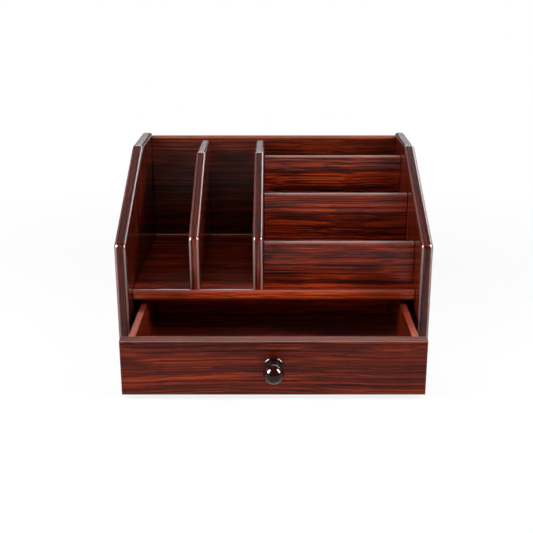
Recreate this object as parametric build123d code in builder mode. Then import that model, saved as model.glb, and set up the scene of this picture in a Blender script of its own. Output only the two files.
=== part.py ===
"""Desk organizer with a drawer: a dowelled wooden cabinet with shaped sides, bays, letter slots and a drawer.

Millimetres, +Z up, +X to the right and +Y to the back. The origin is the centre of the cabinet's footprint,
on the surface that it stands on. The drawer is drawn part of the way out.
"""
import os
from math import radians, sqrt, tan

from build123d import *

# Cabinet
width = 310.0
depth = 234.0
height = 197.5

# Side panels
side_thickness = 12.0
side_front_height = 128.6
side_top_length = 84.5
side_corner_radius = 6.5
side_edge_radius = 3.8

# Back panel
back_thickness = 10.0
back_inset = 4.0
back_drop = 3.0
back_edge_radius = 3.2

# Shelf that carries the compartments
shelf_top = 74.2
shelf_thickness = 11.7
shelf_setback = 22.0
shelf_nose_radius = 4.2
shelf_under_radius = 5.2

# Dividers
divider_thickness = 11.0
divider_setback = 2.8
divider_drop = 4.2
divider_top_length = 72.0
divider_corner_radius = 6.5
divider_edge_radius = 3.8
left_bay_width = 57.8
middle_bay_width = 52.9

# Letter panels
letter_thickness = 9.0
letter_setback = 17.0
letter_pitch = 64.0
letter_front_height = 45.3
letter_middle_height = 79.8
letter_rear_height = 107.3
letter_edge_radius = 3.0

# Eased ends where a board butts against another
end_ease = 1.0

# Base board, let into a rebate along the sides
base_thickness = 4.0
base_rebate = 7.0
base_clearance = 0.2

# Drawer
drawer_pulled_out = 94.2
drawer_front_thickness = 12.0
drawer_front_height = 54.4
drawer_front_clearance = 1.0
drawer_front_ease = 1.2
drawer_lift = 0.6
drawer_back_clearance = 2.0
drawer_overhang = 6.7
drawer_wall_thickness = 6.7
drawer_wall_drop = 1.0
drawer_wall_ease = 0.6
drawer_bottom_thickness = 3.0
drawer_bottom_lift = 5.0
drawer_groove_depth = 3.0
drawer_bottom_clearance = 0.3

# Guide strips beside the drawer
guide_clearance = 0.5
guide_height = 14.0
guide_front_gap = 1.0
guide_lead_in = 2.0

# Dowels: their diameters, and how deep they go into the face and into the end grain that they join
dowel_fit = 0.05
dowel_end_gap = 0.5
dowel_chamfer = 0.6
board_dowel_diameter = 6.0
board_dowel_face_depth = 6.0
board_dowel_end_depth = 18.0
letter_dowel_diameter = 5.0
letter_dowel_face_depth = 5.0
letter_dowel_end_depth = 14.0
drawer_dowel_diameter = 4.0
drawer_dowel_face_depth = 4.5
drawer_dowel_end_depth = 10.0

# Countersunk wood screws
screw_diameter = 3.0
screw_head_diameter = 5.0
screw_head_angle = 90.0
screw_sink = 0.3
screw_point_length = 3.0
base_screw_length = 20.0
guide_screw_length = 14.0

# Knob, turned about its own axis
knob_flange_diameter = 20.0
knob_flange_thickness = 3.4
knob_neck_diameter = 11.0
knob_cove_length = 1.2
knob_bead_length = 2.6
knob_ball_diameter = 19.4
knob_ball_reach = 16.0
knob_bore_depth = 11.0
knob_rise = 2.1

# Screw that holds the knob
knob_screw_diameter = 4.0
knob_screw_fit = 0.05
knob_screw_grip = 9.0
knob_screw_head_diameter = 8.0
knob_screw_head_height = 2.6
knob_screw_head_radius = 1.2
knob_hole_clearance = 0.25

# Places of dowels and screws, as shares of the run that they follow
shelf_dowel_shares = (0.14, 0.5, 0.86)
back_dowel_shares = (0.2, 0.55, 0.85)
divider_foot_dowel_shares = (0.25, 0.66)
divider_back_dowel_shares = (0.3, 0.72)
letter_dowel_shares = (0.3, 0.7)
drawer_dowel_shares = (0.36, 0.8)
base_screw_shares = (0.1, 0.5, 0.86)
base_back_screw_shares = (-0.7, 0.0, 0.7)
guide_screw_shares = (0.15, 0.85)

# The largest share of a board's thickness that a rounded edge takes
rounding_share = 0.45

# One overrun for all cuts
overrun = 1.0

# Planes and spans of the cabinet
front_y = -depth / 2
back_y = depth / 2
inner_half = width / 2 - side_thickness
back_rear_y = back_y - back_inset
back_face_y = back_rear_y - back_thickness
back_middle_y = back_rear_y - back_thickness / 2
back_top = height - back_drop
shelf_front_y = front_y + shelf_setback
shelf_length = back_face_y - shelf_front_y
shelf_middle_z = shelf_top - shelf_thickness / 2

# Planes and spans of the dividers
divider_front_y = shelf_front_y + divider_setback
divider_length = back_face_y - divider_front_y
divider_top = back_top - divider_drop
divider_left_x = -inner_half + left_bay_width
divider_right_x = divider_left_x + divider_thickness + middle_bay_width
divider_middle_xs = [x + divider_thickness / 2 for x in (divider_left_x, divider_right_x)]

# Planes and spans of the letter panels, from the front to the rear
letter_left_x = divider_right_x + divider_thickness
letter_length = inner_half - letter_left_x
letter_front_y = shelf_front_y + letter_setback
letter_heights = {
    "letter_panel_front": letter_front_height,
    "letter_panel_middle": letter_middle_height,
    "letter_panel_rear": letter_rear_height,
}
letter_ys = [letter_front_y + letter_pitch * place for place in range(len(letter_heights))]

# Planes and spans of the base board
base_length = back_rear_y - shelf_front_y
base_middle_y = shelf_front_y + base_length / 2
base_screw_x = inner_half + base_rebate / 2

# Planes and spans of the drawer, where it stands
drawer_face_y = shelf_front_y - drawer_pulled_out
drawer_wall_front_y = drawer_face_y + drawer_front_thickness
drawer_rear_y = back_face_y - drawer_back_clearance - drawer_pulled_out
drawer_back_face_y = drawer_rear_y - drawer_wall_thickness
drawer_wall_length = drawer_rear_y - drawer_wall_front_y
drawer_half = inner_half - drawer_front_clearance
drawer_box_half = drawer_half - drawer_overhang
drawer_inner_half = drawer_box_half - drawer_wall_thickness
drawer_wall_middle_x = drawer_box_half - drawer_wall_thickness / 2
drawer_floor = base_thickness + drawer_lift
drawer_wall_height = drawer_front_height - drawer_wall_drop
drawer_wall_middle_y = drawer_wall_front_y + drawer_wall_length / 2
drawer_wall_middle_z = drawer_floor + drawer_wall_height / 2
drawer_bottom_z = drawer_floor + drawer_bottom_lift
drawer_bottom_middle_z = drawer_bottom_z + drawer_bottom_thickness / 2
drawer_groove_half = drawer_inner_half + drawer_groove_depth
drawer_groove_front_y = drawer_wall_front_y - drawer_groove_depth
drawer_groove_rear_y = drawer_back_face_y + drawer_groove_depth
drawer_groove_length = drawer_groove_rear_y - drawer_groove_front_y
drawer_groove_middle_y = drawer_groove_front_y + drawer_groove_length / 2

# Planes and spans of the guide strips
guide_width = inner_half - drawer_box_half - guide_clearance
guide_front_y = shelf_front_y + drawer_front_thickness + guide_front_gap
guide_length = back_face_y - guide_front_y
guide_middle_x = inner_half - guide_width / 2
guide_middle_z = base_thickness + guide_height / 2

# The knob's axis, a little above the middle of the drawer front's face
knob_origin = (0, drawer_face_y, drawer_floor + drawer_front_height / 2 + knob_rise)
knob_axis = Axis(knob_origin, (0, -1, 0))
knob_plane = Plane(origin=knob_origin, x_dir=(1, 0, 0), z_dir=(0, 0, -1))

# Left and right hand, and the sign that each has along X
hands = {"left": -1, "right": 1}


def rounding(radius, board):
    """The radius of a rounded edge, held within the thickness of its board."""
    return min(radius, board * rounding_share)


def along(start, run, shares):
    """Places along a run, from shares of its length."""
    return [start + run * share for share in shares]


def facing(point, direction):
    """A plane at a point, with its normal along a direction."""
    return Plane(origin=point, z_dir=direction)


def drill(planes, diameter, reach):
    """Cut holes for dowels or screws into the part in hand, to one reach behind each plane."""
    with Locations(*planes):
        Hole(diameter / 2 + dowel_fit, reach + dowel_end_gap)


def countersink(planes):
    """Cut screw holes with conical seats right through the part in hand."""
    mouth = screw_head_diameter / 2 + dowel_fit + screw_sink * tan(radians(screw_head_angle / 2))
    with Locations(*planes):
        CounterSinkHole(screw_diameter / 2 + dowel_fit, mouth, counter_sink_angle=screw_head_angle)


def plug(planes, diameter, face_depth, end_depth):
    """Add dowels to the part in hand, each from behind its plane into the board in front of it."""
    with Locations(*planes):
        with Locations((0, 0, (end_depth - face_depth) / 2)):
            Cylinder(diameter / 2, face_depth + end_depth)


def drive(planes, length):
    """Add countersunk wood screws to the part in hand, each sunk a little below its plane."""
    shank = screw_diameter / 2
    head = screw_head_diameter / 2
    cone = (head - shank) / tan(radians(screw_head_angle / 2))
    for plane in planes:
        with BuildSketch(Plane(origin=plane.origin, x_dir=plane.x_dir, z_dir=-plane.y_dir)) as profile:
            with BuildLine():
                Polyline(
                    (0, -screw_sink),
                    (head, -screw_sink),
                    (shank, -screw_sink - cone),
                    (shank, screw_point_length - length),
                    (0, -length),
                    close=True,
                )
            make_face()
        revolve(profile.sketch, axis=Axis(plane.origin, plane.z_dir))


def finish(builder, name):
    """Label a finished piece and write it out."""
    builder.part.label = name
    export_step(builder.part, f"parts/{name}.step")


# Faces of the joints: each normal points out of the board that is drilled in its face
shelf_joints = {}
back_joints = {}
drawer_back_joints = {}
guide_joints = {}
base_side_joints = {}
drawer_front_joints = []
for sign in hands.values():
    inward = (-sign, 0, 0)
    inner_x = sign * inner_half
    guide_x = sign * (inner_half - guide_width)
    shelf_joints[sign] = [
        facing((inner_x, y, shelf_middle_z), inward)
        for y in along(shelf_front_y, shelf_length, shelf_dowel_shares)
    ]
    back_joints[sign] = [
        facing((inner_x, back_middle_y, z), inward)
        for z in along(base_thickness, back_top - base_thickness, back_dowel_shares)
    ]
    guide_joints[sign] = [
        facing((guide_x, y, guide_middle_z), inward)
        for y in along(guide_front_y, guide_length, guide_screw_shares)
    ]
    base_side_joints[sign] = [
        facing((sign * base_screw_x, y, 0), (0, 0, -1))
        for y in along(shelf_front_y, base_length, base_screw_shares)
    ]
    drawer_back_joints[sign] = [
        facing((sign * drawer_inner_half, drawer_rear_y - drawer_wall_thickness / 2, z), inward)
        for z in along(drawer_floor, drawer_wall_height, drawer_dowel_shares)
    ]
    drawer_front_joints += [
        facing((sign * drawer_wall_middle_x, drawer_wall_front_y, z), (0, 1, 0))
        for z in along(drawer_floor, drawer_wall_height, drawer_dowel_shares)
    ]
base_back_joints = [
    facing((x, back_middle_y, 0), (0, 0, -1)) for x in along(0, inner_half, base_back_screw_shares)
]
divider_foot_joints = [
    facing((x, y, shelf_top), (0, 0, 1))
    for x in divider_middle_xs
    for y in along(divider_front_y, divider_length, divider_foot_dowel_shares)
]
divider_back_joints = [
    facing((x, back_face_y, z), (0, -1, 0))
    for x in divider_middle_xs
    for z in along(shelf_top, divider_top - shelf_top, divider_back_dowel_shares)
]
letter_places = [
    (y + letter_thickness / 2, z)
    for y, tall in zip(letter_ys, letter_heights.values())
    for z in along(shelf_top, tall, letter_dowel_shares)
]
letter_left_joints = [facing((letter_left_x, y, z), (1, 0, 0)) for y, z in letter_places]
letter_right_joints = [facing((inner_half, y, z), (-1, 0, 0)) for y, z in letter_places]

os.makedirs("parts", exist_ok=True)

# Side panels: one shaped outline, rounded all round, with a stopped rebate for the base board
for hand, sign in hands.items():
    with BuildPart() as side_panel:
        with BuildSketch(Plane.YZ.offset(min(sign * inner_half, sign * width / 2))):
            with BuildLine():
                Polyline(
                    (front_y, 0),
                    (back_y, 0),
                    (back_y, height),
                    (back_y - side_top_length, height),
                    (front_y, side_front_height),
                    close=True,
                )
            make_face()
            fillet(vertices(), radius=side_corner_radius)
        extrude(amount=side_thickness)
        fillet(faces().filter_by(Axis.X).edges(), radius=rounding(side_edge_radius, side_thickness))
        with BuildSketch(Plane.XY):
            with Locations((sign * (inner_half + (base_rebate - overrun) / 2), base_middle_y)):
                Rectangle(base_rebate + overrun, base_length)
        extrude(amount=base_thickness, mode=Mode.SUBTRACT)
        drill(shelf_joints[sign] + back_joints[sign], board_dowel_diameter, board_dowel_face_depth)
        if hand == "right":
            drill(letter_right_joints, letter_dowel_diameter, letter_dowel_face_depth)
        drill(guide_joints[sign], screw_diameter, guide_screw_length)
        drill(base_side_joints[sign], screw_diameter, base_screw_length)
    finish(side_panel, f"side_panel_{hand}")

# Back panel, between the sides and on the base board
with BuildPart() as back_panel:
    with BuildSketch(Plane.YZ.offset(-inner_half)):
        with Locations((back_middle_y, (base_thickness + back_top) / 2)):
            Rectangle(back_thickness, back_top - base_thickness)
        fillet(vertices().group_by(Axis.Y)[-1], radius=rounding(back_edge_radius, back_thickness))
    extrude(amount=2 * inner_half)
    rims = faces().filter_by(Axis.X).edges()
    fillet(rims - rims.group_by(Axis.Z)[0], radius=end_ease)
    drill(back_joints[-1] + back_joints[1], board_dowel_diameter, board_dowel_end_depth)
    drill(divider_back_joints, board_dowel_diameter, board_dowel_face_depth)
    drill(base_back_joints, screw_diameter, base_screw_length)
finish(back_panel, "back_panel")

# Shelf, with a rounded front edge, and eased where it meets the back panel
with BuildPart() as shelf:
    with BuildSketch(Plane.YZ.offset(-inner_half)):
        with Locations((shelf_front_y + shelf_length / 2, shelf_middle_z)):
            Rectangle(shelf_length, shelf_thickness)
        nose = vertices().group_by(Axis.X)[0].sort_by(Axis.Y)
        fillet(nose[-1], radius=rounding(shelf_nose_radius, shelf_thickness))
        under = vertices().group_by(Axis.X)[0].sort_by(Axis.Y)
        fillet(under[0], radius=rounding(shelf_under_radius, shelf_thickness))
        rear = vertices().group_by(Axis.X)[-1].sort_by(Axis.Y)
        fillet(rear[-1], radius=end_ease)
    extrude(amount=2 * inner_half)
    rims = faces().filter_by(Axis.X).edges()
    fillet(rims - rims.group_by(Axis.Y)[-1], radius=end_ease)
    drill(shelf_joints[-1] + shelf_joints[1], board_dowel_diameter, board_dowel_end_depth)
    drill(divider_foot_joints, board_dowel_diameter, board_dowel_face_depth)
finish(shelf, "shelf")

# Dividers: the sides' outline again, lower, and rounded where nothing joins them
for hand, left_x in (("left", divider_left_x), ("right", divider_right_x)):
    with BuildPart() as divider:
        with BuildSketch(Plane.YZ.offset(left_x)):
            with BuildLine():
                Polyline(
                    (divider_front_y, shelf_top),
                    (back_face_y, shelf_top),
                    (back_face_y, divider_top),
                    (back_face_y - divider_top_length, divider_top),
                    (divider_front_y, side_front_height),
                    close=True,
                )
            make_face()
            levels = vertices().group_by(Axis.Y)
            fillet(levels[1] + levels[2].sort_by(Axis.X)[:1], radius=divider_corner_radius)
        extrude(amount=divider_thickness)
        rims = faces().filter_by(Axis.X).edges()
        free_rims = rims - rims.group_by(Axis.Z)[0] - rims.group_by(Axis.Y)[-1]
        fillet(free_rims, radius=rounding(divider_edge_radius, divider_thickness))
        drill(divider_foot_joints + divider_back_joints, board_dowel_diameter, board_dowel_end_depth)
        if hand == "right":
            drill(letter_left_joints, letter_dowel_diameter, letter_dowel_face_depth)
    finish(divider, f"divider_{hand}")

# Letter panels, each higher than the one in front of it
for y, (name, tall) in zip(letter_ys, letter_heights.items()):
    with BuildPart() as letter_panel:
        with BuildSketch(Plane.YZ.offset(letter_left_x)):
            with Locations((y + letter_thickness / 2, shelf_top + tall / 2)):
                Rectangle(letter_thickness, tall)
            fillet(vertices().group_by(Axis.Y)[-1], radius=rounding(letter_edge_radius, letter_thickness))
        extrude(amount=letter_length)
        rims = faces().filter_by(Axis.X).edges()
        fillet(rims - rims.group_by(Axis.Z)[0], radius=end_ease)
        drill(letter_left_joints + letter_right_joints, letter_dowel_diameter, letter_dowel_end_depth)
    finish(letter_panel, name)

# Base board, let into the sides and under the back panel
with BuildPart() as base_board:
    with BuildSketch(Plane.XY):
        with Locations((0, base_middle_y)):
            Rectangle(2 * (inner_half + base_rebate - base_clearance), base_length - 2 * base_clearance)
    extrude(amount=base_thickness)
    countersink(base_side_joints[-1] + base_side_joints[1] + base_back_joints)
finish(base_board, "base_board")

# Guide strips on the base board, with a lead-in for the drawer at the front
for hand, sign in hands.items():
    with BuildPart() as drawer_guide:
        with Locations((sign * guide_middle_x, guide_front_y + guide_length / 2, guide_middle_z)):
            Box(guide_width, guide_length, guide_height)
        mouth = edges().filter_by(Axis.Z).group_by(Axis.Y)[0].sort_by(Axis.X)
        chamfer(mouth[0] if sign > 0 else mouth[-1], length=rounding(guide_lead_in, guide_width))
        countersink(guide_joints[sign])
    finish(drawer_guide, f"drawer_guide_{hand}")

# Drawer front, with eased edges, a groove for the drawer bottom and the knob's hole
with BuildPart() as drawer_front:
    with Locations((0, drawer_face_y + drawer_front_thickness / 2, drawer_floor + drawer_front_height / 2)):
        Box(2 * drawer_half, drawer_front_thickness, drawer_front_height)
    fillet(faces().sort_by(Axis.Y)[0].edges(), radius=rounding(drawer_front_ease, drawer_front_thickness))
    fillet(faces().sort_by(Axis.Y)[-1].edges(), radius=rounding(drawer_wall_ease, drawer_front_thickness))
    with Locations((0, drawer_groove_middle_y, drawer_bottom_middle_z)):
        Box(2 * drawer_groove_half, drawer_groove_length, drawer_bottom_thickness, mode=Mode.SUBTRACT)
    drill(drawer_front_joints, drawer_dowel_diameter, drawer_dowel_face_depth)
    with Locations(facing(knob_origin, (0, -1, 0))):
        Hole(knob_screw_diameter / 2 + knob_hole_clearance)
finish(drawer_front, "drawer_front")

# Drawer sides, grooved for the drawer bottom
for hand, sign in hands.items():
    with BuildPart() as drawer_side:
        with Locations((sign * drawer_wall_middle_x, drawer_wall_middle_y, drawer_wall_middle_z)):
            Box(drawer_wall_thickness, drawer_wall_length, drawer_wall_height)
        top_edges = edges().filter_by(Axis.Y).group_by(Axis.Z)[-1]
        fillet(top_edges, radius=rounding(drawer_wall_ease, drawer_wall_thickness))
        with Locations((0, drawer_groove_middle_y, drawer_bottom_middle_z)):
            Box(2 * drawer_groove_half, drawer_groove_length, drawer_bottom_thickness, mode=Mode.SUBTRACT)
        drill(drawer_front_joints, drawer_dowel_diameter, drawer_dowel_end_depth)
        drill(drawer_back_joints[sign], drawer_dowel_diameter, drawer_dowel_face_depth)
    finish(drawer_side, f"drawer_side_{hand}")

# Drawer back, between the drawer sides
with BuildPart() as drawer_back:
    with Locations((0, drawer_rear_y - drawer_wall_thickness / 2, drawer_wall_middle_z)):
        Box(2 * drawer_inner_half, drawer_wall_thickness, drawer_wall_height)
    top_edges = edges().filter_by(Axis.X).group_by(Axis.Z)[-1]
    fillet(top_edges, radius=rounding(drawer_wall_ease, drawer_wall_thickness))
    with Locations((0, drawer_groove_middle_y, drawer_bottom_middle_z)):
        Box(2 * drawer_groove_half, drawer_groove_length, drawer_bottom_thickness, mode=Mode.SUBTRACT)
    drill(drawer_back_joints[-1] + drawer_back_joints[1], drawer_dowel_diameter, drawer_dowel_end_depth)
finish(drawer_back, "drawer_back")

# Drawer bottom, loose in its grooves
with BuildPart() as drawer_bottom:
    with BuildSketch(Plane.XY.offset(drawer_bottom_z)):
        with Locations((0, drawer_groove_middle_y)):
            Rectangle(
                2 * (drawer_groove_half - drawer_bottom_clearance),
                drawer_groove_length - 2 * drawer_bottom_clearance,
            )
    extrude(amount=drawer_bottom_thickness)
finish(drawer_bottom, "drawer_bottom")

# Knob: flange, cove, bead, neck and ball in one turned profile
with BuildPart() as knob:
    rim = knob_flange_thickness / 2
    flange = knob_flange_diameter / 2 - rim
    neck = knob_neck_diameter / 2
    bead = neck + knob_bead_length / 2
    ball = knob_ball_diameter / 2
    bead_start = knob_flange_thickness + knob_cove_length
    bead_end = bead_start + knob_bead_length
    ball_start = knob_ball_reach - sqrt(ball**2 - neck**2)
    with BuildSketch(knob_plane):
        with BuildLine():
            Line((0, 0), (flange, 0))
            ThreePointArc((flange, 0), (flange + rim, rim), (flange, knob_flange_thickness))
            Line((flange, knob_flange_thickness), (neck, bead_start))
            ThreePointArc((neck, bead_start), (bead, (bead_start + bead_end) / 2), (neck, bead_end))
            Line((neck, bead_end), (neck, ball_start))
            ThreePointArc((neck, ball_start), (ball, knob_ball_reach), (0, knob_ball_reach + ball))
            Line((0, knob_ball_reach + ball), (0, 0))
        make_face()
    revolve(axis=knob_axis)
    with Locations(facing(knob_origin, (0, 1, 0))):
        Hole(knob_screw_diameter / 2 + knob_screw_fit, knob_bore_depth)
finish(knob, "knob")

# Knob screw, its head inside the drawer
with BuildPart() as knob_screw:
    shank = knob_screw_diameter / 2
    head = knob_screw_head_diameter / 2
    head_seat = -drawer_front_thickness
    head_top = head_seat - knob_screw_head_height
    with BuildSketch(knob_plane):
        with BuildLine():
            Polyline(
                (0, head_top), (head, head_top), (head, head_seat), (shank, head_seat),
                (shank, knob_screw_grip), (0, knob_screw_grip), close=True,
            )
        make_face()
        crown = vertices().group_by(Axis.Y)[0].sort_by(Axis.X)
        fillet(crown[-1], radius=rounding(knob_screw_head_radius, knob_screw_head_height))
    revolve(axis=knob_axis)
finish(knob_screw, "knob_screw")

# Dowels of the butt joints, in groups
board_dowel = (board_dowel_diameter, board_dowel_face_depth, board_dowel_end_depth)
letter_dowel = (letter_dowel_diameter, letter_dowel_face_depth, letter_dowel_end_depth)
drawer_dowel = (drawer_dowel_diameter, drawer_dowel_face_depth, drawer_dowel_end_depth)
drawer_joints = drawer_front_joints + drawer_back_joints[-1] + drawer_back_joints[1]
dowel_groups = {
    "shelf_dowels": (shelf_joints[-1] + shelf_joints[1], board_dowel),
    "back_panel_dowels": (back_joints[-1] + back_joints[1], board_dowel),
    "divider_dowels": (divider_foot_joints + divider_back_joints, board_dowel),
    "letter_panel_dowels": (letter_left_joints + letter_right_joints, letter_dowel),
    "drawer_dowels": (drawer_joints, drawer_dowel),
}
for name, (planes, (diameter, face_depth, end_depth)) in dowel_groups.items():
    with BuildPart() as dowels:
        plug(planes, diameter, face_depth, end_depth)
        chamfer(edges().filter_by(GeomType.CIRCLE), length=rounding(dowel_chamfer, diameter))
    finish(dowels, name)

# Screws, in groups
with BuildPart() as base_screws:
    drive(base_side_joints[-1] + base_side_joints[1] + base_back_joints, base_screw_length)
finish(base_screws, "base_screws")

with BuildPart() as guide_screws:
    drive(guide_joints[-1] + guide_joints[1], guide_screw_length)
finish(guide_screws, "guide_screws")
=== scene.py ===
"""Looks of a desk organizer with a drawer: lacquered rosewood boards, a turned knob, dowels and screws.

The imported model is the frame. Its boards keep their shape and get their finishes here. The knob, the dowels
and the screws are made anew in finer detail. A white studio stands round them. Metres, +Z up, +Y to the back.
"""
from __future__ import annotations

import logging
import math
from dataclasses import dataclass, field, fields, replace
from enum import Enum
from typing import Any

import bmesh
import bpy
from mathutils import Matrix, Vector


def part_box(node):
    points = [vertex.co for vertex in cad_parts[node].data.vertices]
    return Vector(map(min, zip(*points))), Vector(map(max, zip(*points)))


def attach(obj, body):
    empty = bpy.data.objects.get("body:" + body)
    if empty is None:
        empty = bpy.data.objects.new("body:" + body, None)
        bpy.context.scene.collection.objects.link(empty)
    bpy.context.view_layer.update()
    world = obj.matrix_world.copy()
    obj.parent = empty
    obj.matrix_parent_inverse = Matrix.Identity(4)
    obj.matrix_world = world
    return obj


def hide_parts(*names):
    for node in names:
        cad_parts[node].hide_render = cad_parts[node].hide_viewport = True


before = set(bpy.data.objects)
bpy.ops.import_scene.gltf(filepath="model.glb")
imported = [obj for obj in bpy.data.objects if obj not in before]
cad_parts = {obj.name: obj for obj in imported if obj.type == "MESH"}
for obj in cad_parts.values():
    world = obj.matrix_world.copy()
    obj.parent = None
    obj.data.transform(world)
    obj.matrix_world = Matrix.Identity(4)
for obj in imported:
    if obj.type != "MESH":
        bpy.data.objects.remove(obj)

MM = 0.001
CABINET = "cabinet"
DRAWER = "drawer"

# The middle of a noise's values, and the span that most of them lie in
MIDDLE = 0.5
USUAL = (0.3, 0.7)
# What a Mix node is given to mix colours
COLOURS = {"out": 2, "data_type": "RGBA"}
# White, dark stain that also stands for painted shade, a painted highlight along a seam, and the way that
# depths go
WHITE = "#ffffff"
STAIN_AND_SHADE = "#0c0202"
SEAM_HIGHLIGHT = "#e8c8b8"
DOWN = (0.0, 0.0, -1.0)
# Corners that lie this close are one: in the frame's meshes, and in the new ones
FRAME_MERGE_MM = 0.001
PIECE_MERGE_MM = 0.0005
# The digits, of metres, that set the order of a node's bodies
ORDER_DIGITS = 5
# A fastener's end as a share of its length, and how much wider an end is before it counts as the head
END_SHARE = 0.12
HEAD_MM = 0.01

log = logging.getLogger("desk_organizer")

Stops = tuple[tuple[float, str], ...]
Tree = bpy.types.NodeTree


class Grain(Enum):
    """The way a board's grain runs, with the turn that lays it along X."""

    ALONG_X = (0.0, 0.0, 0.0)
    ALONG_Y = (0.0, 0.0, -math.pi / 2)
    ALONG_Z = (0.0, math.pi / 2, 0.0)


class Facing(Enum):
    """The ways a surface faces: where each begins and where it is full, by a part of the normal."""

    UP = (0.45, 0.55)
    TOP = (0.8, 0.96)
    SANDED = (0.9, 0.99)
    UNDER = (-0.15, -0.75)
    AHEAD = (-0.8, -0.97)
    SEAM = (-0.5, -0.8)
    BROAD = (0.6, 0.95)
    JOINT = (0.15, 0.5)
    SLOPED = (0.1, 0.4)


class Use(Enum):
    """What a lamp does, as whether matt surfaces and whether the gloss see it."""

    GLOSS = (False, True)
    FILL = (True, False)


def linear(colour: str) -> tuple[float, float, float, float]:
    """Turn an sRGB hex colour to linear.

    Args:
        colour: The colour as "#rrggbb".

    Returns:
        Its linear red, green and blue, and an alpha of 1.
    """
    shares = [int(colour[place:place + 2], 16) / 255 for place in (1, 3, 5)]
    red, green, blue = (s / 12.92 if s <= 0.04045 else ((s + 0.055) / 1.055) ** 2.4 for s in shares)
    return red, green, blue, 1.0


def feed(tree: Tree, node: bpy.types.Node, inputs: dict[str | int, Any]) -> None:
    """Give a node its inputs.

    Args:
        tree: The node's tree.
        node: The node.
        inputs: A value, an output socket or a list of such sockets for each input, by name or number.
    """
    for key, value in inputs.items():
        for given in value if isinstance(value, list) else [value]:
            if isinstance(given, bpy.types.NodeSocket):
                tree.links.new(given, node.inputs[key])
            else:
                node.inputs[key].default_value = given


def add(
    tree: Tree, kind: str, inputs: dict[str | int, Any] | tuple = (), out: str | int = 0,
    stops: Stops = (), **settings: Any,
) -> Any:
    """Add a node with its settings and links.

    Args:
        tree: The tree that gets the node.
        kind: The node's type name.
        inputs: What the inputs get, by name or number, or else in their order.
        out: The output that is wanted, by name or number.
        stops: A colour ramp's places from 0 to 1 with their hex colours, in order.
        settings: Properties of the node.

    Returns:
        The wanted output's socket, or None where the node has no outputs.
    """
    node = tree.nodes.new(kind)
    for key, value in settings.items():
        setattr(node, key, value)
    feed(tree, node, inputs if isinstance(inputs, dict) else dict(enumerate(inputs)))
    if stops:
        elements = node.color_ramp.elements
        while len(elements) < len(stops):
            elements.new(1.0)
        for element, (place, colour) in zip(elements, stops):
            element.position = place
            element.color = linear(colour)
    return node.outputs[out] if len(node.outputs) else None


def apart(tree: Tree, value: Any, middle: float = 0.0) -> Any:
    """Find how far a value is from a middle and return the socket."""
    off = add(tree, "ShaderNodeMath", (value, middle), operation="SUBTRACT")
    return add(tree, "ShaderNodeMath", (off,), operation="ABSOLUTE")


def new_tree(name: str) -> tuple[bpy.types.Material, Tree]:
    """Make a material with an empty node tree.

    Args:
        name: The material's name.

    Returns:
        The material and its tree.
    """
    material = bpy.data.materials.new(name)
    material.use_nodes = True
    material.node_tree.nodes.clear()
    return material, material.node_tree


def placed(name: str, data: Any) -> bpy.types.Object:
    """Make an object and link it to the scene.

    Args:
        name: Its name.
        data: Its mesh, lamp or camera.

    Returns:
        The object.
    """
    made = bpy.data.objects.new(name, data)
    bpy.context.scene.collection.objects.link(made)
    return made


@dataclass
class Surface:
    """A point on a board, as sockets of its material's tree.

    Attributes:
        tree: The tree.
        facing: The parts of the surface's normal, by name.
        height: The height above the floor.
        place: The place in the board, with the grain along X.
        path: That place, swayed as the figure sways.
        fibres: The fibres' value, from 0 to 1.
    """

    tree: Tree
    facing: Any
    height: Any
    place: Any
    path: Any
    fibres: Any


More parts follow.
